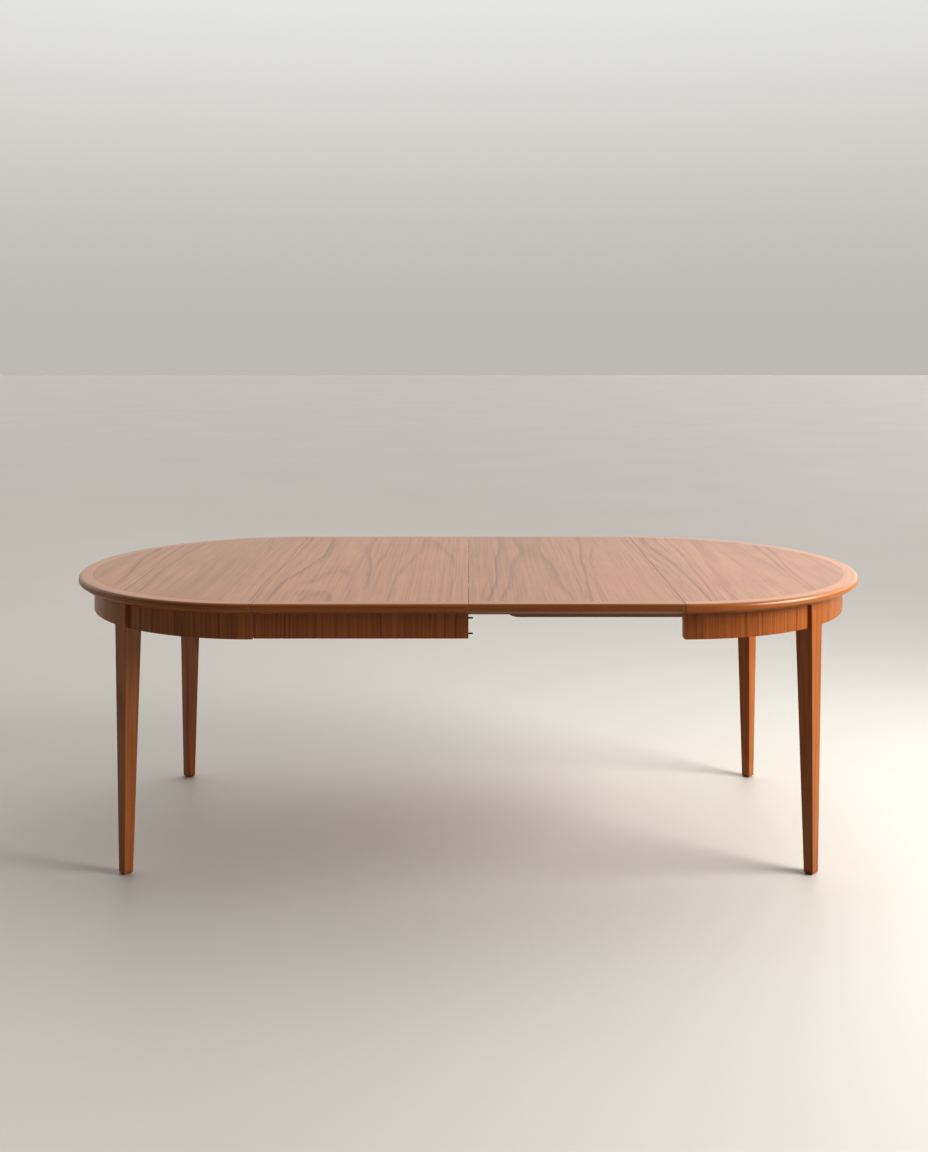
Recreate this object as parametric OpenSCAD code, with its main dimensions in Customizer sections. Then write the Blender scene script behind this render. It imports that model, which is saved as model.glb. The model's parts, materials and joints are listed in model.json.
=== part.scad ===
// Round extending dining table: two half-round ends on four tapered legs, three-part
// wooden slides, and two insert leaves that drop in between the ends.
// X runs along the length of the table, Y from the front (-Y) to the back, Z up from the floor.

/* [Top] */
// Diameter of the round top with both leaves taken out
top_d = 1120; // [1040:10:1300]
// Width of each insert leaf
leaf_w = 525; // [420:5:560]
// Height of the top surface above the floor
top_h = 725; // [700:5:760]
// Thickness of the veneered panels
panel_t = 22; // [20:1:24]
// Width of the solid edge band around the panels
band_w = 38; // [32:1:44]
// Thickness of the edge band
band_t = 26; // [25:1:30]
// Radius that rounds the upper edge of the band
band_round = 10; // [4:1:12]
// How far the underside of the band is cut back by its bevel
band_bevel = 12; // [6:1:16]
// Gap at each seam between two panels
seam = 0.6; // [0.4:0.1:1]

/* [Aprons] */
// How far the rim of the top stands out past the aprons
overhang = 41; // [36:1:46]
// Thickness of the bent aprons
apron_t = 18; // [16:1:20]
// Depth of the aprons under the panels
apron_h = 72; // [66:1:80]
// Radius of the lower apron corner at the seam
apron_corner = 6; // [2:1:10]
// How much shallower the aprons of the leaf are
leaf_apron_rise = 2; // [0:1:4]

/* [Legs] */
// Angle of each leg from the long axis of the table
leg_angle = 46.5; // [44:0.5:48]
// Width of the square leg at the apron
leg_w = 48; // [42:1:52]
// Width of the square foot
foot_w = 26.5; // [22:0.5:30]
// How far the outer face of a leg stands proud of the aprons
leg_proud = 9; // [5:0.5:12]
// How far the outer face of a leg leans in between apron and floor
leg_lean = 4.5; // [0:0.5:8]
// Height of the rounded edge under each foot
foot_round_h = 8; // [4:1:10]
// Width of the rounded edge under each foot
foot_round_w = 6; // [3:1:7]

/* [Slides] */
// Thickness of each rail
rail_t = 22; // [20:1:24]
// Distance from the centre line to the outer face of the outer rails
rail_y = 258; // [250:1:262]
// How far a fixed rail runs under its own half
rail_in = 363; // [300:1:370]
// Half the length of a middle rail
runner_reach = 420; // [380:1:430]
// Depth of the tongue that joins two rails
tongue_depth = 7; // [5:1:8]
// Half the width of a tongue at its root
tongue_root = 6; // [4:1:7]
// Half the width of a tongue at its tip
tongue_tip = 8; // [7:1:9]

/* [Fixings] */
// Diameter of the dowels in the edges of the panels
dowel_d = 8; // [6:1:10]
// How far the dowels stand out of a panel
dowel_out = 12; // [10:1:14]
// Diameter of the pins in the ends of the aprons
pin_d = 4; // [4:1:6]
// How far the pins stand out of an apron
pin_out = 11; // [8:1:12]
// Diameter of the hanger bolts that hold the legs
bolt_d = 8; // [6:1:8]

/* [Hidden] */
$fn = 48;

LEFT = -1;
RIGHT = 1;
FRONT = -1;
BACK = 1;
round_fn = 240;          // facets of the big circles
extra = 1;               // how far cutters run past what they cut
glue_gap = 0.05;         // room around a dowel or a bolt in its hole
slide_gap = 0.5;         // room between rails, and between rails and panels
tongue_gap = 0.4;        // room around a tongue in its groove

// Top
top_r = top_d / 2;
panel_r = top_r - band_w;
panel_z = top_h - panel_t;
band_z = top_h - band_t;
band_nose = 15;          // depth at which the vertical nose turns into the bevel

// Aprons
apron_r = top_r - overhang;
apron_in = apron_r - apron_t;
apron_z = panel_z - apron_h;

// Legs, measured outwards from the centre of a half
leg_out = apron_r + leg_proud;
leg_in = leg_out - leg_w;
foot_out = leg_out - leg_lean;
foot_in = foot_out - foot_w;
leg_notch = panel_r - 0.6;  // keeps the leg's top inside the band
block_w = 150;
block_t = 30;
block_h = 63;
bolt_in_leg = 30;
bolt_tail = 14;
washer_d = 22;
washer_t = 2;
nut_w = 13;
nut_t = 6.5;
bolt_levels = [apron_z + 21, apron_z + 51];
joint_dowel_in_leg = 12;
joint_dowel_in_apron = 25;
joint_dowel_levels = [apron_z + 17, apron_z + 55];

// Glue blocks
glue_block_w = 60;
glue_block_t = 23;
glue_block_h = 28;
end_block_angles = [-18, 0, 18];
side_block_angles = [64, 80];
leaf_block_places = [75, leaf_w / 2, leaf_w - 75];

// Slides: the right rails are outermost, then the middle rails, then the left rails
rail_pitch = rail_t + slide_gap;
right_rail_y = rail_y;
middle_rail_y = rail_y - rail_pitch;
left_rail_y = rail_y - 2 * rail_pitch;
rail_top = panel_z - slide_gap;
rail_z = apron_z;
inner_rail_rise = 2;     // how much shallower the middle and left rails are
inner_rail_z = rail_z + inner_rail_rise;
tongue_z = (rail_z + rail_top) / 2;
rail_end_room = 2.5;
rail_out = sqrt(apron_in * apron_in - rail_y * rail_y) - rail_end_room;
toe_r = 46.7;
toe_l = 34;
land_start = 10;
stop_d = 8;
stop_x = rail_out - 12;
stop_depth = 16;
stop_room = 4;           // room between a stop peg and the end of the tongue
tongue_start = leaf_w - stop_x + stop_d / 2 + stop_room;
screw_places = [40, 190, 330];
screw_d = 4.5;
screw_head_d = 8;
screw_head_t = 3;
screw_hole_d = 9;
screw_hole_h = 37;
screw_bite = 15;
screw_y = 7.25;          // from the face of a rail that has no groove

// Dowels and pins at the seams
dowel_places = [-400, -150, 150, 400];
dowel_z = top_h - panel_t / 2;
dowel_in = 24;
dowel_hole = dowel_out + 2;
pin_levels = [apron_z + 13, apron_z + 51];
pin_y = apron_r - apron_t / 2;
pin_in = 20;
pin_hole = pin_out + 2;
hole_room = 0.3;         // room around a dowel or pin in the hole it plugs into

veneer = [0.70, 0.50, 0.36];
solid_teak = [0.62, 0.40, 0.24];
apron_teak = [0.50, 0.30, 0.16];
beech = [0.66, 0.52, 0.36];
steel = [0.62, 0.62, 0.60];
dark_steel = [0.22, 0.20, 0.18];

// ---- Placing ----

// Puts a piece drawn for the right half on either half
module on_half(side) {
    translate([side * leaf_w, 0, 0])
        mirror([side == LEFT ? 1 : 0, 0, 0])
            children();
}

// Puts a piece drawn for the back on either the front or the back
module on_depth(depth) {
    mirror([0, depth == FRONT ? 1 : 0, 0])
        children();
}

// Puts a piece drawn along a leg, with X pointing outwards, at a leg's angle
module at_leg() {
    rotate([0, 0, leg_angle])
        children();
}

// ---- Shapes ----

// Straight rod along X that starts at x = 0 and has a chamfered far end
module chamfered_rod(d, l) {
    chamfer = d / 6;
    rotate([0, 90, 0]) {
        cylinder(d = d, h = l - chamfer);
        translate([0, 0, l - chamfer])
            cylinder(d1 = d, d2 = d - 2 * chamfer, h = chamfer);
    }
}

// Plain rod along X
module rod(d, l) {
    rotate([0, 90, 0])
        cylinder(d = d, h = l);
}

// Keeps the part of a half that lies outside the seam
module beyond_seam() {
    intersection() {
        children();
        translate([seam / 2, -top_d, 0])
            cube([top_d, 2 * top_d, 2 * top_h]);
    }
}

// Section of the edge band: its outer edge is at x = 0 and its top at y = 0
module band_section() {
    rounding = [for (a = [0 : 10 : 90])
        [band_round * (cos(a) - 1), band_round * (sin(a) - 1)]];
    polygon(concat(
        [[-band_w, -band_t], [-band_bevel, -band_t], [0, -band_nose]],
        rounding,
        [[-band_w, 0]]));
}

// Full ring between two radii
module ring(r_out, r_in, h) {
    difference() {
        cylinder(r = r_out, h = h, $fn = round_fn);
        translate([0, 0, -extra])
            cylinder(r = r_in, h = h + 2 * extra, $fn = round_fn);
    }
}

// Wedge of space between two angles, wider than the table
module wedge(from, to) {
    reach = 2 * top_d;
    middle = (from + to) / 2;
    linear_extrude(height = 2 * top_h)
        polygon([
            [0, 0],
            [reach * cos(from), reach * sin(from)],
            [reach * cos(middle), reach * sin(middle)],
            [reach * cos(to), reach * sin(to)]]);
}

// Space that a leg takes between the aprons
module leg_space() {
    at_leg()
        translate([leg_in, -leg_w / 2, apron_z - extra])
            cube([leg_w + 2 * extra, leg_w, apron_h + 2 * extra]);
}

// The holes or rods along a seam edge, drawn for the edge at x = 0
module along_panel_edge() {
    for (y = dowel_places)
        translate([0, y, dowel_z])
            children();
}

module along_apron_ends() {
    for (depth = [FRONT, BACK])
        for (z = pin_levels)
            translate([0, depth * pin_y, z])
                children();
}

// ---- Half-round ends ----

module screw_pilots(y) {
    for (depth = [FRONT, BACK])
        for (x = screw_places)
            translate([x, depth * y, panel_z - extra])
                cylinder(d = screw_d + 2 * glue_gap, h = screw_bite + extra + glue_gap);
}

// Dowel sockets of the left half and dowel holes of the right half
module half_panel(side) {
    color(veneer)
        on_half(side)
            difference() {
                beyond_seam()
                    translate([0, 0, panel_z])
                        cylinder(r = panel_r, h = panel_t, $fn = round_fn);
                along_panel_edge()
                    if (side == LEFT)
                        rod(dowel_d + 2 * glue_gap, seam / 2 + dowel_in);
                    else
                        rod(dowel_d + 2 * hole_room, seam / 2 + dowel_hole);
                screw_pilots(screw_line(side));
            }
}

module half_band(side) {
    color(solid_teak)
        on_half(side)
            beyond_seam()
                translate([0, 0, top_h])
                    rotate_extrude($fn = round_fn)
                        translate([top_r, 0])
                            band_section();
}

// Sockets for the dowels between the aprons and the leg
module joint_dowels(room) {
    l = joint_dowel_in_leg + joint_dowel_in_apron;
    for (z = joint_dowel_levels)
        for (way = [-1, 1])
            translate([joint_dowel_r(), way * (leg_w / 2 + joint_dowel_in_apron - l / 2), z])
                rotate([90, 0, 0])
                    cylinder(d = dowel_d + 2 * room, h = l + 2 * room, center = true);
}

module half_apron_ring() {
    translate([0, 0, apron_z])
        ring(apron_r, apron_in, apron_h);
}

module end_apron(side) {
    color(apron_teak)
        on_half(side)
            difference() {
                intersection() {
                    half_apron_ring();
                    wedge(-leg_angle, leg_angle);
                }
                for (depth = [FRONT, BACK])
                    on_depth(depth) {
                        leg_space();
                        at_leg()
                            joint_dowels(glue_gap);
                    }
            }
}

// Rounds the lower corner of an apron end that lies at x = 0
module corner_cut(r) {
    rounding = [for (a = [0 : 15 : 90]) [r * (1 - sin(a)), r * (1 - cos(a))]];
    translate([0, top_r, apron_z])
        rotate([90, 0, 0])
            linear_extrude(height = top_r)
                polygon(concat(rounding, [[-extra, r], [-extra, -extra], [r, -extra]]));
}

module side_apron(side, depth) {
    color(apron_teak)
        on_half(side)
            on_depth(depth)
                difference() {
                    intersection() {
                        beyond_seam()
                            half_apron_ring();
                        wedge(leg_angle, 90);
                    }
                    leg_space();
                    at_leg()
                        joint_dowels(glue_gap);
                    translate([seam / 2, 0, 0])
                        corner_cut(apron_corner);
                    for (z = pin_levels)
                        translate([0, pin_y, z])
                            if (side == LEFT)
                                rod(pin_d + 2 * glue_gap, seam / 2 + pin_in);
                            else
                                rod(pin_d + 2 * hole_room, seam / 2 + pin_hole);
                }
}

// Curve under a foot; way is +1 for an edge on the right and -1 for one on the left
function foot_curve(edge, way) = [for (a = [0 : 15 : 90])
    [edge - way * foot_round_w * (1 - sin(a)), foot_round_h * (1 - cos(a))]];

function reversed(list) = [for (i = [len(list) - 1 : -1 : 0]) list[i]];

// Tapered outline between the two edges of a foot and the two edges of the top. Its upper
// corner on the right is notched from x = notch outwards, down to the underside of the band
module leg_outline(foot_a, foot_b, top_a, top_b, notch) {
    polygon(concat(
        foot_curve(foot_b, 1),
        [[top_b, apron_z], [top_b, band_z], [notch, band_z], [notch, panel_z]],
        [[top_a, panel_z], [top_a, apron_z]],
        reversed(foot_curve(foot_a, -1))));
}

module leg(side, depth) {
    color(solid_teak)
        on_half(side)
            on_depth(depth)
                at_leg()
                    difference() {
                        intersection() {
                            rotate([90, 0, 0])
                                linear_extrude(height = leg_w, center = true)
                                    leg_outline(foot_in, foot_out, leg_in, leg_out, leg_notch);
                            translate([leg_in, 0, 0])
                                rotate([90, 0, 90])
                                    linear_extrude(height = leg_w)
                                        leg_outline(-foot_w / 2, foot_w / 2, -leg_w / 2, leg_w / 2, leg_w / 2);
                        }
                        joint_dowels(glue_gap);
                        for (z = bolt_levels)
                            translate([leg_in - extra, 0, z])
                                rod(bolt_d + 2 * glue_gap, bolt_in_leg + extra);
                    }
}

// Block behind a leg, glued to the aprons on both sides of it
module corner_block(side, depth) {
    block_in = leg_in - block_t;
    color(beech)
        on_half(side)
            on_depth(depth)
                difference() {
                    intersection() {
                        translate([0, 0, panel_z - block_h])
                            cylinder(r = apron_in, h = block_h, $fn = round_fn);
                        at_leg()
                            translate([block_in, -block_w / 2, panel_z - block_h])
                                cube([block_t + leg_w, block_w, block_h]);
                    }
                    leg_space();
                    at_leg()
                        for (z = bolt_levels)
                            translate([block_in - extra, 0, z])
                                rod(bolt_d + 1, block_t + 2 * extra);
                }
}

module at_bolts(side) {
    on_half(side)
        for (depth = [FRONT, BACK])
            on_depth(depth)
                at_leg()
                    for (z = bolt_levels)
                        translate([leg_in - block_t, 0, z])
                            children();
}

module leg_bolts(side) {
    color(steel)
        at_bolts(side)
            translate([-bolt_tail, 0, 0])
                rod(bolt_d, bolt_tail + block_t + bolt_in_leg);
}

module leg_washers(side) {
    color(steel)
        at_bolts(side)
            translate([-washer_t, 0, 0])
                difference() {
                    rod(washer_d, washer_t);
                    translate([-extra, 0, 0])
                        rod(bolt_d + 0.6, washer_t + 2 * extra);
                }
}

module leg_nuts(side) {
    color(steel)
        at_bolts(side)
            translate([-washer_t - nut_t, 0, 0])
                difference() {
                    rotate([0, 90, 0])
                        cylinder(d = nut_w / cos(30), h = nut_t, $fn = 6);
                    translate([-extra, 0, 0])
                        rod(bolt_d + 2 * glue_gap, nut_t + 2 * extra);
                }
}

// Distance of the joint dowels from the centre of a half, so that they stay inside the apron
function joint_dowel_r() =
    sqrt(pow(apron_r - apron_t / 2, 2) - pow((leg_w + joint_dowel_in_apron) / 2, 2));

module apron_dowels(side) {
    color(beech)
        on_half(side)
            for (depth = [FRONT, BACK])
                on_depth(depth)
                    at_leg()
                        joint_dowels(0);
}

module round_glue_block(angle) {
    intersection() {
        translate([0, 0, panel_z - glue_block_h])
            cylinder(r = apron_in, h = glue_block_h, $fn = round_fn);
        rotate([0, 0, angle])
            translate([apron_in - glue_block_t, -glue_block_w / 2, panel_z - glue_block_h])
                cube([2 * glue_block_t, glue_block_w, glue_block_h]);
    }
}

module half_glue_blocks(side) {
    color(beech)
        on_half(side) {
            for (angle = end_block_angles)
                round_glue_block(angle);
            for (depth = [FRONT, BACK])
                on_depth(depth)
                    for (angle = side_block_angles)
                        round_glue_block(angle);
        }
}

// ---- Slides ----

// Middle of the wood that the groove leaves beside it, where the rail screws go
function screw_line(side) = side == RIGHT
    ? right_rail_y - screw_y
    : left_rail_y - rail_t + screw_y;

// Section of a tongue that points to +Y, from the rail's face at y = 0
module tongue_section(room) {
    root = tongue_root + room;
    tip = tongue_tip + room;
    depth = tongue_depth + room;
    polygon([[-extra, -root], [0, -root], [depth, -tip], [depth, tip], [0, root], [-extra, root]]);
}

// A tongue along X between two places, with its root on the plane y
module tongue(from, to, y, way, room) {
    translate([from, y, tongue_z])
        mirror([0, way < 0 ? 1 : 0, 0])
            rotate([90, 0, 90])
                linear_extrude(height = to - from)
                    tongue_section(room);
}

// Sled-shaped toe at the free end of a fixed rail
module toe_cut(y, bottom) {
    translate([-rail_out, y + extra, bottom])
        rotate([90, 0, 0])
            linear_extrude(height = rail_t + 2 * extra)
                difference() {
                    translate([-extra, -extra])
                        square([toe_l + extra, toe_r + extra]);
                    translate([toe_l, toe_r])
                        circle(r = toe_r, $fn = round_fn);
                }
}

// Rail that is screwed under one half and reaches out beneath the leaf
module fixed_rail(side, depth) {
    y = side == RIGHT ? right_rail_y : left_rail_y;
    bottom = side == RIGHT ? rail_z : inner_rail_z;
    groove_y = side == RIGHT ? y - rail_t : y;
    groove_way = side == RIGHT ? 1 : -1;
    color(beech)
        on_half(side)
            on_depth(depth)
                difference() {
                    union() {
                        translate([-rail_out, y - rail_t, bottom])
                            cube([rail_out + rail_in, rail_t, rail_top - bottom]);
                        translate([land_start, y - rail_t, rail_top - extra])
                            cube([rail_in - land_start, rail_t, slide_gap + extra]);
                    }
                    tongue(-rail_out - extra, rail_in + extra, groove_y, groove_way, tongue_gap);
                    toe_cut(y, bottom);
                    for (x = screw_places)
                        translate([x, screw_line(side), 0]) {
                            translate([0, 0, bottom - extra])
                                cylinder(d = screw_hole_d, h = screw_hole_h + extra);
                            translate([0, 0, bottom])
                                cylinder(d = screw_d + 2 * glue_gap, h = top_h - bottom);
                        }
                    stop_peg(side, glue_gap);
                }
}

// Peg across the groove that keeps a tongue from running out
module stop_peg(side, room) {
    face = side == RIGHT ? right_rail_y - rail_t : left_rail_y;
    way = side == RIGHT ? 1 : -1;
    translate([-stop_x, face + way * (slide_gap + stop_depth) / 2 + way * slide_gap / 2, tongue_z])
        rotate([90, 0, 0])
            cylinder(d = stop_d + 2 * room, h = stop_depth - slide_gap, center = true);
}

module rail_stops(side) {
    color(beech)
        on_half(side)
            for (depth = [FRONT, BACK])
                on_depth(depth)
                    stop_peg(side, 0);
}

module rail_screws(side) {
    bottom = side == RIGHT ? rail_z : inner_rail_z;
    seat = bottom + screw_hole_h;
    color(steel)
        on_half(side)
            for (depth = [FRONT, BACK])
                on_depth(depth)
                    for (x = screw_places)
                        translate([x, screw_line(side), 0]) {
                            translate([0, 0, seat - screw_head_t])
                                cylinder(d = screw_head_d, h = screw_head_t);
                            translate([0, 0, seat - screw_head_t])
                                cylinder(d = screw_d, h = panel_z + screw_bite - seat + screw_head_t);
                        }
}

// Rail that runs between a right rail and a left rail, with a tongue for each
module middle_rail(depth) {
    color(beech)
        on_depth(depth) {
            translate([-runner_reach, middle_rail_y - rail_t, inner_rail_z])
                cube([2 * runner_reach, rail_t, rail_top - inner_rail_z]);
            tongue(tongue_start, runner_reach, middle_rail_y, 1, 0);
            tongue(-runner_reach, -tongue_start, middle_rail_y - rail_t, -1, 0);
        }
}

// ---- Seam dowels and pins ----

// Dowels on the +X edge of the left half
module half_top_dowels() {
    color(beech)
        along_panel_edge()
            translate([-leaf_w - seam / 2 - dowel_in, 0, 0])
                chamfered_rod(dowel_d, dowel_in + dowel_out + seam / 2);
}

module half_apron_pins() {
    color(dark_steel)
        along_apron_ends()
            translate([-leaf_w - seam / 2 - pin_in, 0, 0])
                chamfered_rod(pin_d, pin_in + pin_out);
}

// ---- Insert leaves ----

// Lowest X of a leaf; the left leaf ends at the middle seam and the right leaf starts there
function leaf_x(side) = side == LEFT ? -leaf_w : 0;

module leaf_panel(side) {
    color(veneer)
        translate([leaf_x(side), 0, 0])
            difference() {
                translate([seam / 2, -panel_r, panel_z])
                    cube([leaf_w - seam, 2 * panel_r, panel_t]);
                along_panel_edge() {
                    rod(dowel_d + 2 * hole_room, seam / 2 + dowel_hole);
                    translate([leaf_w - seam / 2 - dowel_in, 0, 0])
                        rod(dowel_d + 2 * glue_gap, dowel_in + extra);
                }
            }
}

module leaf_band(side, depth) {
    color(solid_teak)
        translate([leaf_x(side) + seam / 2, 0, top_h])
            on_depth(depth)
                translate([0, top_r, 0])
                    rotate([90, 0, 90])
                        linear_extrude(height = leaf_w - seam)
                            band_section();
}

module leaf_apron(side, depth) {
    bottom = apron_z + leaf_apron_rise;
    color(apron_teak)
        translate([leaf_x(side), 0, 0])
            on_depth(depth)
                difference() {
                    translate([seam / 2, apron_in, bottom])
                        cube([leaf_w - seam, apron_t, panel_z - bottom]);
                    for (z = pin_levels)
                        translate([0, pin_y, z]) {
                            rod(pin_d + 2 * hole_room, seam / 2 + pin_hole);
                            translate([leaf_w - seam / 2 - pin_in, 0, 0])
                                rod(pin_d + 2 * glue_gap, pin_in + extra);
                        }
                }
}

module leaf_glue_blocks(side) {
    color(beech)
        translate([leaf_x(side), 0, 0])
            for (depth = [FRONT, BACK])
                on_depth(depth)
                    for (x = leaf_block_places)
                        translate([x - glue_block_w / 2, apron_in - glue_block_t, panel_z - glue_block_h])
                            cube([glue_block_w, glue_block_t, glue_block_h]);
}

// Dowels on the +X edge of a leaf
module leaf_top_dowels(side) {
    color(beech)
        translate([leaf_x(side) + leaf_w - seam / 2 - dowel_in, 0, 0])
            along_panel_edge()
                chamfered_rod(dowel_d, dowel_in + dowel_out + seam / 2);
}

module leaf_apron_pins(side) {
    color(dark_steel)
        translate([leaf_x(side) + leaf_w - seam / 2 - pin_in, 0, 0])
            along_apron_ends()
                chamfered_rod(pin_d, pin_in + pin_out);
}

// ---- Left half ----

module left_top_panel() half_panel(LEFT);
module left_edge_band() half_band(LEFT);
module left_end_apron() end_apron(LEFT);
module left_front_apron() side_apron(LEFT, FRONT);
module left_back_apron() side_apron(LEFT, BACK);
module left_front_leg() leg(LEFT, FRONT);
module left_back_leg() leg(LEFT, BACK);
module left_front_corner_block() corner_block(LEFT, FRONT);
module left_back_corner_block() corner_block(LEFT, BACK);
module left_leg_bolts() leg_bolts(LEFT);
module left_leg_washers() leg_washers(LEFT);
module left_leg_nuts() leg_nuts(LEFT);
module left_apron_dowels() apron_dowels(LEFT);
module left_glue_blocks() half_glue_blocks(LEFT);
module left_front_rail() fixed_rail(LEFT, FRONT);
module left_back_rail() fixed_rail(LEFT, BACK);
module left_rail_screws() rail_screws(LEFT);
module left_rail_stops() rail_stops(LEFT);
module left_top_dowels() half_top_dowels();
module left_apron_pins() half_apron_pins();

// ---- Right half ----

module right_top_panel() half_panel(RIGHT);
module right_edge_band() half_band(RIGHT);
module right_end_apron() end_apron(RIGHT);
module right_front_apron() side_apron(RIGHT, FRONT);
module right_back_apron() side_apron(RIGHT, BACK);
module right_front_leg() leg(RIGHT, FRONT);
module right_back_leg() leg(RIGHT, BACK);
module right_front_corner_block() corner_block(RIGHT, FRONT);
module right_back_corner_block() corner_block(RIGHT, BACK);
module right_leg_bolts() leg_bolts(RIGHT);
module right_leg_washers() leg_washers(RIGHT);
module right_leg_nuts() leg_nuts(RIGHT);
module right_apron_dowels() apron_dowels(RIGHT);
module right_glue_blocks() half_glue_blocks(RIGHT);
module right_front_rail() fixed_rail(RIGHT, FRONT);
module right_back_rail() fixed_rail(RIGHT, BACK);
module right_rail_screws() rail_screws(RIGHT);
module right_rail_stops() rail_stops(RIGHT);

// ---- Middle rails ----

module front_middle_rail() middle_rail(FRONT);
module back_middle_rail() middle_rail(BACK);

// ---- Leaves ----

module leaf_left_panel() leaf_panel(LEFT);
module leaf_left_front_band() leaf_band(LEFT, FRONT);
module leaf_left_back_band() leaf_band(LEFT, BACK);
module leaf_left_front_apron() leaf_apron(LEFT, FRONT);
module leaf_left_back_apron() leaf_apron(LEFT, BACK);
module leaf_left_glue_blocks() leaf_glue_blocks(LEFT);
module leaf_left_top_dowels() leaf_top_dowels(LEFT);
module leaf_left_apron_pins() leaf_apron_pins(LEFT);
module leaf_right_panel() leaf_panel(RIGHT);
module leaf_right_front_band() leaf_band(RIGHT, FRONT);
module leaf_right_back_band() leaf_band(RIGHT, BACK);
module leaf_right_top_dowels() leaf_top_dowels(RIGHT);

left_top_panel();
left_edge_band();
left_end_apron();
left_front_apron();
left_back_apron();
left_front_leg();
left_back_leg();
left_front_corner_block();
left_back_corner_block();
left_leg_bolts();
left_leg_washers();
left_leg_nuts();
left_apron_dowels();
left_glue_blocks();
left_front_rail();
left_back_rail();
left_rail_screws();
left_rail_stops();
left_top_dowels();
left_apron_pins();
right_top_panel();
right_edge_band();
right_end_apron();
right_front_apron();
right_back_apron();
right_front_leg();
right_back_leg();
right_front_corner_block();
right_back_corner_block();
right_leg_bolts();
right_leg_washers();
right_leg_nuts();
right_apron_dowels();
right_glue_blocks();
right_front_rail();
right_back_rail();
right_rail_screws();
right_rail_stops();
front_middle_rail();
back_middle_rail();
leaf_left_panel();
leaf_left_front_band();
leaf_left_back_band();
leaf_left_front_apron();
leaf_left_back_apron();
leaf_left_glue_blocks();
leaf_left_top_dowels();
leaf_left_apron_pins();
leaf_right_panel();
leaf_right_front_band();
leaf_right_back_band();
leaf_right_top_dowels();
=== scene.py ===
"""Looks of a round extending dining table: teak veneers, solid teak edges and legs, beech slides."""
import json
import math
from itertools import count

import bmesh
import bpy
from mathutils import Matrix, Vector

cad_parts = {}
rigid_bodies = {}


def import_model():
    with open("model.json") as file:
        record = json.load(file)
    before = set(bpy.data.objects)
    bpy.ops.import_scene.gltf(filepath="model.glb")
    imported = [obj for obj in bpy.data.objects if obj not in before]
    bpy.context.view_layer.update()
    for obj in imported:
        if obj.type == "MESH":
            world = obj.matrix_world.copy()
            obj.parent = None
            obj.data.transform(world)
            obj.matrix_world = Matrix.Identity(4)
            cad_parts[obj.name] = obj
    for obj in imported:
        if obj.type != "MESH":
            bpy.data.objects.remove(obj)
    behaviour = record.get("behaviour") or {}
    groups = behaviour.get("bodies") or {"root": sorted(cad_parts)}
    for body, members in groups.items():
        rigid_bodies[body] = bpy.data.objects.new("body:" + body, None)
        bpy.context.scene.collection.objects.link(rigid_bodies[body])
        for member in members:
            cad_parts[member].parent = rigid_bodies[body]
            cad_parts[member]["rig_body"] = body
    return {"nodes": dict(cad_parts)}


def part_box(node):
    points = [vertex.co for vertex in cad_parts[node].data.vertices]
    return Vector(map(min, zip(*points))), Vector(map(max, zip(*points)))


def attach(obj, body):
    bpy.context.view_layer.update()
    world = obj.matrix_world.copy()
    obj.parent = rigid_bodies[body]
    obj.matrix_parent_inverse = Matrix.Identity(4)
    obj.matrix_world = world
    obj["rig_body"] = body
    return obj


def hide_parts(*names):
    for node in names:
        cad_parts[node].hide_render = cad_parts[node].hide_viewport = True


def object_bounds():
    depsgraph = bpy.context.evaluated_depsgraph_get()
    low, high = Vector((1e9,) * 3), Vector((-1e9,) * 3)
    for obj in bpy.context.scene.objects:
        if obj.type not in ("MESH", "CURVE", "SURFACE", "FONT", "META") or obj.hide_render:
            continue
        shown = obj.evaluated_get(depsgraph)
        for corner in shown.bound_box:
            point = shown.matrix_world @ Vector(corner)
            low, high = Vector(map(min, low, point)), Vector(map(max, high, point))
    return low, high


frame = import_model()
cad_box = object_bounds()

# ---- Places: sizes from the frame, and the given angle of the legs and section of the band ----

LEFT, RIGHT = -1, 1
FRONT, BACK = -1, 1
SIDE_NAMES = {LEFT: "left", RIGHT: "right"}
DEPTH_NAMES = {FRONT: "front", BACK: "back"}

top_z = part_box("left_top_panel")[1].z
band_low, band_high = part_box("leaf_left_back_band")
top_r = band_high.y
band_w = band_high.y - band_low.y
band_t = band_high.z - band_low.z
seam_x = {LEFT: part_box("left_edge_band")[1].x, RIGHT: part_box("right_edge_band")[0].x}
centre_x = {LEFT: cad_box[0].x + top_r, RIGHT: cad_box[1].x - top_r}
apron_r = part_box("leaf_left_back_apron")[1].y
# Where the legs stand round the ends, from the long axis of the table
LEG_ANGLE = math.radians(46.5)

# The edge band's section, in metres from its upper outer edge
BAND_ROUND = 0.010
BAND_NOSE = 0.015
BAND_BEVEL = 0.012
BAND_SOFT = 0.003
# How much its inner upper edge and the corners of its ends are eased
INNER_EASE = 0.0004
END_EASE = 0.0005
ROUND_BAND_STEPS = 120
STRAIGHT_BAND_STEPS = 24


# ---- Meshes ----

SMOOTH_ANGLE = math.radians(38)
CORNER_ANGLE = math.radians(35)
FLAT_ANGLE = math.radians(0.4)
WELD_DISTANCE = 1e-6
# How far the long corners of each kind of piece are eased
TOP_EASE = 0.0005
APRON_EASE = 0.0012
LEG_EASE = 0.0022
RAIL_EASE = 0.0015
BLOCK_EASE = 0.001
# The shortest edges that are eased, which leaves the rims of bores and the small notches sharp
SHORTEST_EDGE = 0.012
SHORTEST_RAIL_EDGE = 0.018
SHORTEST_LEG_EDGE = 0.02


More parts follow.
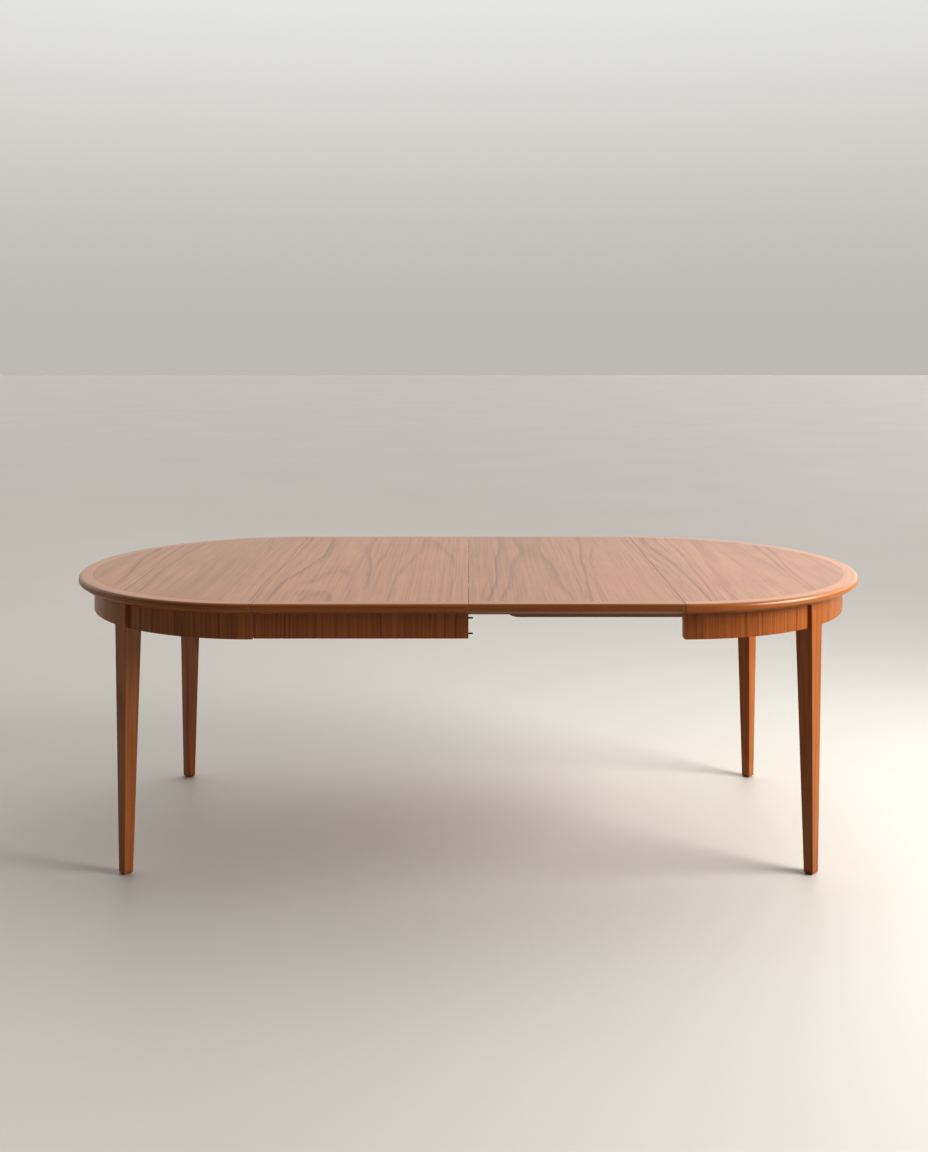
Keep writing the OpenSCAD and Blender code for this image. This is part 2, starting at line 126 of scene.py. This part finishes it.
def mesh_object(name, bm):
    """Turns a bmesh into an object with smooth faces and sharp corners."""
    bmesh.ops.recalc_face_normals(bm, faces=bm.faces)
    for face in bm.faces:
        face.smooth = True
    mesh = bpy.data.meshes.new(name)
    bm.to_mesh(mesh)
    bm.free()
    mesh.set_sharp_from_angle(angle=SMOOTH_ANGLE)
    obj = bpy.data.objects.new(name, mesh)
    bpy.context.scene.collection.objects.link(obj)
    weighted = obj.modifiers.new("weighted_normals", "WEIGHTED_NORMAL")
    weighted.keep_sharp = True
    return obj


def give_grain(obj, place, board, tone):
    """Stores each point's place in the wood, along, across and into the grain, and its board and tone."""
    points = obj.data.vertices
    grain = obj.data.attributes.new("grain", "FLOAT_VECTOR", "POINT")
    grain.data.foreach_set("vector", [value for point in points for value in place(point.co)])
    piece = obj.data.attributes.new("piece", "FLOAT_VECTOR", "POINT")
    piece.data.foreach_set("vector", [board, tone, 0.0] * len(points))


def sharp_edges(bm, shortest):
    """The long edges between faces that meet at a real corner."""
    joined = [edge for edge in bm.edges if len(edge.link_faces) == 2]
    return [edge for edge in joined
            if edge.calc_length() > shortest and edge.calc_face_angle(0) > CORNER_ANGLE]


def make_wooden(node, bm, slot, place, board, tone):
    """Puts a wooden piece in the place of a CAD node, on the body that the node rides on."""
    obj = mesh_object(node + "_wood", bm)
    give_grain(obj, place, board, tone)
    obj.data.materials.append(MATERIALS[slot])
    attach(obj, frame["nodes"][node]["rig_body"])
    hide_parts(node)


def refine(node, slot, place, board, width, tone=1.0, segments=2, shortest=SHORTEST_EDGE):
    """A copy of a CAD node with its long corners eased by width and its wood laid out."""
    bm = bmesh.new()
    bm.from_mesh(frame["nodes"][node].data)
    bmesh.ops.remove_doubles(bm, verts=bm.verts, dist=WELD_DISTANCE)
    bmesh.ops.dissolve_limit(bm, angle_limit=FLAT_ANGLE, verts=bm.verts, edges=bm.edges)
    bmesh.ops.bevel(bm, geom=sharp_edges(bm, shortest), offset=width, segments=segments, profile=0.5,
                    affect="EDGES", clamp_overlap=True)
    make_wooden(node, bm, slot, place, board, tone)


# Where a point lies in the wood of each kind of piece: along, across and into the grain

def across_table(first_joint):
    """Veneer that runs from front to back, with a joint between two sheets at x = first_joint."""
    def place(co):
        return co.y, co.x - first_joint, co.z
    return place


def along_rail(co):
    return co.x, co.z, co.y


def along_table(co):
    return co.x, co.y, co.z


def upright_straight(co):
    return co.z, co.x, co.y


def polar(co, side):
    """The angle and radius of a point about the middle of a half's round end."""
    dx = co.x - centre_x[side]
    return math.atan2(co.y, abs(dx)), math.hypot(dx, co.y)


def upright_round(side):
    def place(co):
        angle, radius = polar(co, side)
        return co.z, angle * apron_r, radius
    return place


def along_round(side):
    def place(co):
        angle, radius = polar(co, side)
        return angle * top_r, radius, co.z
    return place


def along_leg(side, depth):
    turn = LEG_ANGLE * depth
    out = Vector((side * math.cos(turn), math.sin(turn), 0))
    sideways = Vector((-out.y, out.x, 0))

    def place(co):
        local = Vector((co.x - centre_x[side], co.y, 0))
        return co.z, local.dot(sideways), local.dot(out)
    return place


# ---- Edge bands ----

def arc(x, y, radius, start, end, steps):
    """Points round (x, y), from one angle to another in degrees."""
    angles = [math.radians(start + (end - start) * i / steps) for i in range(steps + 1)]
    return [(x + radius * math.cos(angle), y + radius * math.sin(angle)) for angle in angles]


def band_section():
    """The band's outline: distance from the rim inwards (negative) and height from the top surface."""
    fall = math.degrees(math.atan2(band_t - BAND_NOSE, BAND_BEVEL))
    foot = (-BAND_BEVEL - BAND_SOFT * (1 - math.sin(math.radians(fall))), -band_t)
    return [(-band_w, -band_t), foot,
            *arc(-BAND_SOFT, -BAND_NOSE, BAND_SOFT, fall - 90, 0, 4),
            *arc(-BAND_ROUND, -BAND_ROUND, BAND_ROUND, 0, 90, 10),
            (-band_w + INNER_EASE, 0), (-band_w, -INNER_EASE)]


def shrunk(section, by):
    """The section with its outline pulled in, for the eased corners at a band's ends."""
    middle_x = -band_w / 2
    middle_y = -band_t / 2
    keep_x = 1 - 2 * by / band_w
    keep_y = 1 - 2 * by / band_t
    return [(middle_x + (x - middle_x) * keep_x, middle_y + (y - middle_y) * keep_y) for x, y in section]


def stations(steps, end):
    """How far along a band each ring lies, and how much its outline is pulled in."""
    inner = [(end + (1 - 2 * end) * i / steps, 0) for i in range(steps + 1)]
    return [(0, END_EASE), *inner, (1, END_EASE)]


def sweep(rings):
    """Skins a row of closed outlines and closes both ends."""
    bm = bmesh.new()
    rows = [[bm.verts.new(p) for p in ring] for ring in rings]
    size = len(rows[0])
    for a, b in zip(rows, rows[1:]):
        for i in range(size):
            following = (i + 1) % size
            bm.faces.new((a[i], a[following], b[following], b[i]))
    bm.faces.new(rows[0])
    bm.faces.new(reversed(rows[-1]))
    return bm


def round_band(side, board, tone):
    """The band round one half, whose every ring ends on the straight seam."""
    seam = (seam_x[side] - centre_x[side]) * side
    rings = []
    for t, pull in stations(ROUND_BAND_STEPS, END_EASE / (math.pi * top_r)):
        ring = []
        for inset, height in shrunk(band_section(), pull):
            radius = top_r + inset
            limit = math.acos(seam / radius)
            angle = -limit + 2 * limit * t
            ring.append((centre_x[side] + side * radius * math.cos(angle),
                         radius * math.sin(angle), top_z + height))
        rings.append(ring)
    make_wooden(f"{SIDE_NAMES[side]}_edge_band", sweep(rings), "edge_teak", along_round(side), board, tone)


def straight_band(leaf, depth, board, tone):
    """The band along the front or the back of a leaf."""
    node = f"leaf_{leaf}_{DEPTH_NAMES[depth]}_band"
    low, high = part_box(node)
    length = high.x - low.x
    rings = [[(low.x + length * t, depth * (top_r + inset), top_z + height)
              for inset, height in shrunk(band_section(), pull)]
             for t, pull in stations(STRAIGHT_BAND_STEPS, END_EASE / length)]
    make_wooden(node, sweep(rings), "edge_teak", along_table, board, tone)


# ---- Shader nodes ----

class Graph:
    """A short way to write the nodes of a material or of the world."""

    def __init__(self, tree):
        self.tree = tree
        tree.nodes.clear()

    def node(self, kind, **settings):
        made = self.tree.nodes.new(kind)
        for key, value in settings.items():
            setattr(made, key, value)
        return made

    def put(self, socket, value):
        """Links a socket to another, or sets it to a number or colour."""
        if isinstance(value, bpy.types.NodeSocket):
            self.tree.links.new(value, socket)
        else:
            socket.default_value = value

    def attribute(self, name):
        return self.split(self.node("ShaderNodeAttribute", attribute_name=name).outputs["Vector"])

    def split(self, vector):
        made = self.node("ShaderNodeSeparateXYZ")
        self.put(made.inputs[0], vector)
        return made.outputs

    def math(self, operation, *values):
        made = self.node("ShaderNodeMath", operation=operation)
        for socket, value in zip(made.inputs, values):
            self.put(socket, value)
        return made.outputs[0]

    def add(self, *values):
        total = values[0]
        for value in values[1:]:
            total = self.math("ADD", total, value)
        return total

    def times(self, a, b):
        return self.math("MULTIPLY", a, b)

    def noise(self, vector, scale=1.0, detail=2.0, roughness=0.5):
        made = self.node("ShaderNodeTexNoise")
        self.put(made.inputs["Vector"], vector)
        self.put(made.inputs["Scale"], scale)
        self.put(made.inputs["Detail"], detail)
        self.put(made.inputs["Roughness"], roughness)
        return made.outputs[0]

    def pattern(self, place, rates, detail, roughness=0.5):
        """Noise at a place of three values, each stretched by how fast the noise changes along it."""
        vector = self.node("ShaderNodeCombineXYZ")
        for socket, value, rate in zip(vector.inputs, place, rates):
            self.put(socket, self.times(value, rate))
        return self.noise(vector.outputs[0], 1.0, detail, roughness)

    def random(self, value):
        """Three random numbers from 0 to 1, the same for the same value."""
        made = self.node("ShaderNodeTexWhiteNoise", noise_dimensions="1D")
        self.put(made.inputs["W"], value)
        return self.split(made.outputs["Color"])

    def spread(self, value, low, high, to_low=0.0, to_high=1.0):
        """A smooth step from to_low to to_high as the value goes from low to high."""
        made = self.node("ShaderNodeMapRange", interpolation_type="SMOOTHSTEP")
        for socket, number in zip(made.inputs, (value, low, high, to_low, to_high)):
            self.put(socket, number)
        return made.outputs[0]

    def ramp(self, value, stops):
        made = self.node("ShaderNodeValToRGB")
        elements = made.color_ramp.elements
        while len(elements) < len(stops):
            elements.new(0.5)
        for element, (position, colour) in zip(elements, stops):
            element.position = position
            element.color = (*colour, 1)
        self.put(made.inputs[0], value)
        return made.outputs[0]

    def scaled(self, colour, factor):
        made = self.node("ShaderNodeVectorMath", operation="SCALE")
        self.put(made.inputs[0], colour)
        self.put(made.inputs["Scale"], factor)
        return made.outputs[0]

    def bump(self, height, strength, distance):
        made = self.node("ShaderNodeBump")
        self.put(made.inputs["Height"], height)
        self.put(made.inputs["Strength"], strength)
        self.put(made.inputs["Distance"], distance)
        return made.outputs[0]

    def shader(self, **inputs):
        made = self.node("ShaderNodeBsdfPrincipled")
        for key, value in inputs.items():
            self.put(made.inputs[key.replace("_", " ")], value)
        output = self.node("ShaderNodeOutputMaterial")
        self.put(output.inputs[0], made.outputs[0])


def new_material(name):
    material = bpy.data.materials.new(name)
    material.use_nodes = True
    return material, Graph(material.node_tree)


# ---- Materials ----

RING_SPACING = 0.0042
UNEVEN_RINGS = 3.0
# How far from the edge of a veneer sheet the line of its joint starts and is darkest, and how dark
JOINT_START = 0.0009
JOINT_LINE = 0.0002
JOINT_SHADE = 0.80
# The length of log that boards come from, and the steps between the random draws of boards and rings
LOG_LENGTH = 9.0
BOARD_STEP = 7.31
RING_STEP = 50.0
FIBRE_STRENGTH = 0.34
PORE_STRENGTH = 0.22
GRAIN_BUMP = 0.25
GRAIN_DEPTH = 0.00025

# How many times a metre each pattern in the wood changes, in the order that its place is given
DRIFT_RATES = (1.1, 3.0, 1.0)
SWAY_RATES = (3.5, 7.0, 1.0)
UNEVEN_RATES = (60.0, 0.3, 1.0)
BAND_RATES = (110.0, 1.1, 9.0)
VEIN_RATES = (230.0, 2.2, 1.0)
BROKEN_RATES = (5.0, 14.0, 1.0)
STREAK_RATES = (1.4, 170.0, 60.0)
FIBRE_RATES = (9.0, 520.0, 520.0)
PORE_RATES = (150.0, 2400.0, 2400.0)
CLOUD_RATES = (7.0, 10.0, 10.0)
SHIMMER_RATES = (55.0, 14.0, 14.0)


def wood(name, light, middle, dark, sheet=0.0, wide=0.1, cut=0.05, slope=0.01, warp=0.004,
         ringed=0.25, veined=0.35, banded=0.25, streaked=0.35, patch=0.07, gloss=0.42):
    """Wood cut from a log whose rings lie round an axis a little out of line with the grain.

    sheet is the width of the veneer sheets, or 0 for solid wood, and wide is the range of places
    that the middle of the log may have in one. cut is the distance of the surface from the pith,
    slope is the run of the grain out of the surface, and warp is how far the grain wavers. ringed,
    veined, banded and streaked are the strengths of the growth rings, dark veins, broad bands and
    long streaks, and patch is that of the slow changes of shade. gloss is the middle roughness.
    """
    material, g = new_material(name)
    along, across, into = g.attribute("grain")
    board, tone, _ = g.attribute("piece")

    if sheet:
        index = g.math("FLOOR", g.math("DIVIDE", across, sheet))
        chance = g.random(g.add(g.times(board, BOARD_STEP), index))
        local = g.math("SUBTRACT", across, g.times(g.add(index, 0.5), sheet))
        joint = g.spread(g.math("ABSOLUTE", local), sheet / 2 - JOINT_START, sheet / 2 - JOINT_LINE,
                         1.0, JOINT_SHADE)
        shade = g.times(g.times(tone, g.add(0.96, g.times(chance[1], 0.08))), joint)
    else:
        chance = g.random(g.times(board, BOARD_STEP))
        local = across
        shade = tone
    side = g.add(local, g.times(g.add(chance[0], -0.5), wide))
    run = g.add(along, g.times(chance[1], LOG_LENGTH))
    start = g.times(g.add(0.5, chance[2]), cut)

    # Distance from the pith, which gives long arches where the cut passes near it
    drift = g.add(g.pattern((run, side, board), DRIFT_RATES, 1), -0.5)
    sway = g.add(g.pattern((run, side, board), SWAY_RATES, 4, 0.65), -0.5)
    depth = g.add(start, g.times(along, slope), g.times(drift, warp * 2), into)
    bent = g.add(side, g.times(sway, warp))
    radius = g.math("SQRT", g.add(g.times(bent, bent), g.times(depth, depth)))

    # Growth rings, unevenly spaced and unevenly dark, each darkening slowly and ending sharply
    uneven = g.pattern((radius, run, 0.0), UNEVEN_RATES, 1)
    ring_place = g.add(g.math("DIVIDE", radius, RING_SPACING), g.times(uneven, UNEVEN_RINGS))
    phase = g.math("FRACT", ring_place)
    weight = g.random(g.add(g.math("FLOOR", ring_place), g.times(chance[2], RING_STEP)))[0]
    darkening = g.times(g.spread(phase, 0.45, 0.93), g.spread(phase, 0.94, 1.0, 1.0, 0.0))
    rings = g.times(darkening, g.add(0.15, g.times(g.times(weight, weight), 1.6)))

    # Bands and dark veins follow the rings, streaks, fibres and pores the grain
    band = g.pattern((radius, run, into), BAND_RATES, 2, 0.6)
    vein_field = g.pattern((radius, run, 7.0), VEIN_RATES, 2, 0.55)
    broken = g.pattern((run, side, board), BROKEN_RATES, 1)
    vein = g.times(g.spread(vein_field, 0.62, 0.70), g.spread(broken, 0.42, 0.62))
    streak = g.pattern((run, bent, depth), STREAK_RATES, 4, 0.7)
    fibre = g.pattern((run, side, into), FIBRE_RATES, 3, 0.65)
    pore_field = g.pattern((run, side, into), PORE_RATES, 1)
    pore = g.times(g.spread(pore_field, 0.60, 0.70), g.add(0.25, g.times(rings, 0.75)))
    cloud = g.pattern((run, side, into), CLOUD_RATES, 2)
    shimmer = g.pattern((run, side, into), SHIMMER_RATES, 2)

    darkness = g.add(g.times(rings, ringed), g.times(vein, veined), g.times(band, banded),
                     g.times(g.spread(streak, 0.34, 0.68), streaked), g.times(fibre, FIBRE_STRENGTH),
                     g.times(pore, PORE_STRENGTH), -0.18 - banded * 0.3)
    colour = g.ramp(darkness, [(0.0, light), (0.42, middle), (1.0, dark)])
    slow = g.add(1.0 - patch * 1.25, g.times(cloud, 2 * patch), g.times(shimmer, 0.5 * patch))
    rough = g.add(gloss - 0.03, g.times(fibre, 0.09), g.times(pore, 0.10))
    height = g.add(g.times(fibre, 0.35), g.times(pore, -1.0))
    g.shader(Base_Color=g.scaled(colour, g.times(shade, slow)), Roughness=rough,
             Normal=g.bump(height, GRAIN_BUMP, GRAIN_DEPTH))
    return material


def dowel_wood():
    """Turned beech for the dowels, which has no board of its own."""
    material, g = new_material("dowel_beech")
    place = g.split(g.node("ShaderNodeTexCoord").outputs["Object"])
    fibre = g.pattern(place, (12.0, 600.0, 600.0), 3)
    colour = g.ramp(fibre, [(0.3, (0.56, 0.40, 0.24)), (0.7, (0.44, 0.29, 0.16))])
    g.shader(Base_Color=colour, Roughness=0.6, Normal=g.bump(fibre, 0.2, 0.0002))
    return material


def metal(name, colour, roughness, spots):
    """Plain or darkened steel with faint uneven patches."""
    material, g = new_material(name)
    place = g.node("ShaderNodeTexCoord").outputs["Object"]
    patchy = g.noise(place, 220.0, 4, 0.6)
    fine = g.noise(place, 1500.0, 2, 0.5)
    shade = g.add(1.0 - spots, g.times(patchy, 2 * spots))
    speckled = g.ramp(fine, [(0.3, colour), (0.7, tuple(0.9 * channel for channel in colour))])
    g.shader(Base_Color=g.scaled(speckled, shade), Roughness=g.add(roughness - 0.08, g.times(patchy, 0.16)),
             Metallic=1.0, Normal=g.bump(fine, 0.1, 0.0001))
    return material


def floor_material():
    material, g = new_material("pale_floor")
    cloud = g.noise(g.node("ShaderNodeTexCoord").outputs["Object"], 0.7, 3, 0.5)
    colour = g.ramp(cloud, [(0.3, (0.585, 0.565, 0.53)), (0.7, (0.605, 0.585, 0.55))])
    g.shader(Base_Color=colour, Roughness=0.55, Specular_IOR_Level=0.3)
    return material


# Light, middle and dark colours of each wood
TOP_TEAK = ((0.400, 0.185, 0.086), (0.315, 0.132, 0.056), (0.142, 0.050, 0.021))
EDGE_TEAK = ((0.410, 0.160, 0.044), (0.320, 0.112, 0.028), (0.160, 0.047, 0.011))
RICH_TEAK = ((0.410, 0.150, 0.031), (0.300, 0.094, 0.015), (0.112, 0.027, 0.003))
BEECH = ((0.34, 0.205, 0.105), (0.28, 0.160, 0.078), (0.18, 0.095, 0.042))

MATERIALS = {
    "top_veneer": wood("teak_top_veneer", *TOP_TEAK, sheet=0.2625, wide=0.12, cut=0.045, slope=0.004,
                       warp=0.008, ringed=0.30, veined=0.30, banded=0.20, streaked=0.44, patch=0.10,
                       gloss=0.38),
    "edge_teak": wood("teak_edge", *EDGE_TEAK, wide=0.3, cut=0.25, slope=0.004, warp=0.002, gloss=0.31),
    "apron_veneer": wood("teak_apron_veneer", *RICH_TEAK, sheet=0.19, wide=0.4, cut=0.05, slope=0.01,
                         warp=0.002, streaked=0.5, gloss=0.29),
    "leg_teak": wood("teak_leg", *RICH_TEAK, wide=0.3, cut=0.14, slope=0.006, warp=0.003, gloss=0.29),
    "beech": wood("beech_rail", *BEECH, wide=0.3, cut=0.15, slope=0.006, warp=0.002, ringed=0.15,
                  veined=0.05, streaked=0.25, gloss=0.58),
}

# The CAD nodes that keep their shapes, by the ends of their names
steel = metal("zinc_steel", (0.62, 0.61, 0.58), 0.34, 0.06)
dark_steel = metal("dark_steel", (0.10, 0.085, 0.075), 0.45, 0.12)
HARDWARE = {
    ("_dowels", "_stops"): dowel_wood(),
    ("_pins",): dark_steel,
    ("_bolts", "_washers", "_nuts", "_screws"): steel,
}


# ---- Pieces ----

# Each group of pieces has its own run of board numbers, which choose the figure of each piece

# How far out from the middle of the table the joint between sheets lies in its end panels
END_PANEL_JOINT = 0.604
# The top panels from left to right, with the place of a joint between sheets and the tone
PANELS = (("left_top_panel", -END_PANEL_JOINT, 0.98), ("leaf_left_panel", 0.0, 1.0),
          ("leaf_right_panel", 0.0, 0.91), ("right_top_panel", END_PANEL_JOINT, 0.95))
ROUND_BAND_TONES = {LEFT: 0.94, RIGHT: 1.0}
STRAIGHT_BAND_TONES = {"left": 0.91, "right": 0.79}


def make_tops():
    for board, (node, first_joint, tone) in enumerate(PANELS, 1):
        refine(node, "top_veneer", across_table(first_joint), board, TOP_EASE, tone)
    boards = count(11)
    for side, tone in ROUND_BAND_TONES.items():
        round_band(side, next(boards), tone)
    for leaf, tone in STRAIGHT_BAND_TONES.items():
        for depth in (FRONT, BACK):
            straight_band(leaf, depth, next(boards), tone)


def make_aprons():
    boards = count(21)
    for side in (LEFT, RIGHT):
        for part in ("end", "front", "back"):
            node = f"{SIDE_NAMES[side]}_{part}_apron"
            refine(node, "apron_veneer", upright_round(side), next(boards), APRON_EASE)
    for depth in (FRONT, BACK):
        node = f"leaf_left_{DEPTH_NAMES[depth]}_apron"
        refine(node, "apron_veneer", upright_straight, next(boards), APRON_EASE)


def make_legs():
    boards = count(31)
    for side in (LEFT, RIGHT):
        for depth in (FRONT, BACK):
            node = f"{SIDE_NAMES[side]}_{DEPTH_NAMES[depth]}_leg"
            refine(node, "leg_teak", along_leg(side, depth), next(boards), LEG_EASE,
                   segments=3, shortest=SHORTEST_LEG_EDGE)


def make_rails():
    boards = count(41)
    for depth in DEPTH_NAMES.values():
        for node in (f"left_{depth}_rail", f"right_{depth}_rail", f"{depth}_middle_rail"):
            refine(node, "beech", along_rail, next(boards), RAIL_EASE, shortest=SHORTEST_RAIL_EDGE)


def make_blocks():
    boards = count(51)
    for side, name in SIDE_NAMES.items():
        for part in ("front_corner_block", "back_corner_block", "glue_blocks"):
            refine(f"{name}_{part}", "beech", along_round(side), next(boards), BLOCK_EASE)
    refine("leaf_left_glue_blocks", "beech", along_table, next(boards), BLOCK_EASE)


def finish_hardware():
    """Screws, bolts, pins and dowels keep their CAD shapes and get their own materials."""
    for node, obj in frame["nodes"].items():
        for endings, material in HARDWARE.items():
            if node.endswith(endings):
                obj.data.materials.clear()
                obj.data.materials.append(material)


# ---- Scene ----

FLOOR_SIZE = 120
# The world's brightness at the horizon and above, and the backdrop's colours there
HORIZON, ZENITH = 0.66, 0.92
HORIZON_COLOUR = (0.60, 0.585, 0.545)
ZENITH_COLOUR = (0.88, 0.88, 0.87)
WORLD_STRENGTH = 1.36
# The brightness of the world in front of the table and behind it
FRONT_LIGHT, BEHIND_LIGHT = 0.09, 1.26
GLOW = 0.82
CAMERA_PLACE = (0, -3.6405, 1.3425)
KEY_PLACE = (3.9, -1.25, 2.15)
KEY_TARGET = (0.3, -0.2, 0.7)
KEY_RADIUS = 1.2
KEY_POWER = 1000


def make_camera():
    """A level camera in front of the table, with the frame shifted down as the view is."""
    data = bpy.data.cameras.new("camera")
    data.sensor_width = 36
    data.lens = 39.93
    data.shift_x = -0.0039
    data.shift_y = -0.1977
    camera = bpy.data.objects.new("camera", data)
    camera.location = CAMERA_PLACE
    camera.rotation_euler = (math.radians(90), 0, 0)
    bpy.context.scene.collection.objects.link(camera)
    bpy.context.scene.camera = camera


def make_key():
    """A large soft lamp at the right, which fades smoothly towards the edge of its cone."""
    data = bpy.data.lights.new("key_right", "SPOT")
    data.spot_size = math.radians(115)
    data.spot_blend = 1.0
    data.shadow_soft_size = KEY_RADIUS
    data.energy = KEY_POWER
    data.color = (1.0, 0.99, 0.97)
    light = bpy.data.objects.new("key_right", data)
    light.location = KEY_PLACE
    aim = Vector(KEY_TARGET) - light.location
    light.rotation_euler = aim.to_track_quat("-Z", "Y").to_euler()
    light.visible_camera = False
    bpy.context.scene.collection.objects.link(light)


def make_world():
    """A pale backdrop for the camera, and soft light: brighter from above, behind and the right."""
    world = bpy.data.worlds.new("studio")
    world.use_nodes = True
    bpy.context.scene.world = world
    g = Graph(world.node_tree)
    right, behind, up = g.split(g.node("ShaderNodeTexCoord").outputs["Generated"])
    level = g.spread(up, 0.0, 0.35, HORIZON, ZENITH)
    lean = g.spread(g.add(behind, g.times(g.math("ABSOLUTE", right), 0.3), g.times(right, 0.12)),
                    -0.4, 0.95, FRONT_LIGHT, BEHIND_LIGHT)
    glow = g.times(g.spread(right, -0.05, 0.5), g.spread(behind, -0.2, 0.8, 0.0, GLOW))
    seen = g.node("ShaderNodeBackground")
    g.put(seen.inputs[0], g.ramp(level, [(HORIZON, HORIZON_COLOUR), (ZENITH, ZENITH_COLOUR)]))
    lit = g.node("ShaderNodeBackground")
    g.put(lit.inputs[0], (1.0, 0.985, 0.96, 1))
    g.put(lit.inputs[1], g.times(g.times(level, g.add(lean, glow)), WORLD_STRENGTH))
    blend = g.node("ShaderNodeMixShader")
    g.put(blend.inputs[0], g.node("ShaderNodeLightPath").outputs["Is Camera Ray"])
    g.put(blend.inputs[1], lit.outputs[0])
    g.put(blend.inputs[2], seen.outputs[0])
    output = g.node("ShaderNodeOutputWorld")
    g.put(output.inputs[0], blend.outputs[0])


def make_stage():
    bpy.ops.mesh.primitive_plane_add(size=FLOOR_SIZE)
    floor = bpy.context.object
    floor.name = "floor"
    floor.data.materials.append(floor_material())
    make_key()
    make_world()
    view = bpy.context.scene.view_settings
    view.view_transform = "Standard"
    view.gamma = 0.75


make_camera()
make_stage()
make_tops()
make_aprons()
make_legs()
make_rails()
make_blocks()
finish_hardware()

bpy.context.view_layer.update()
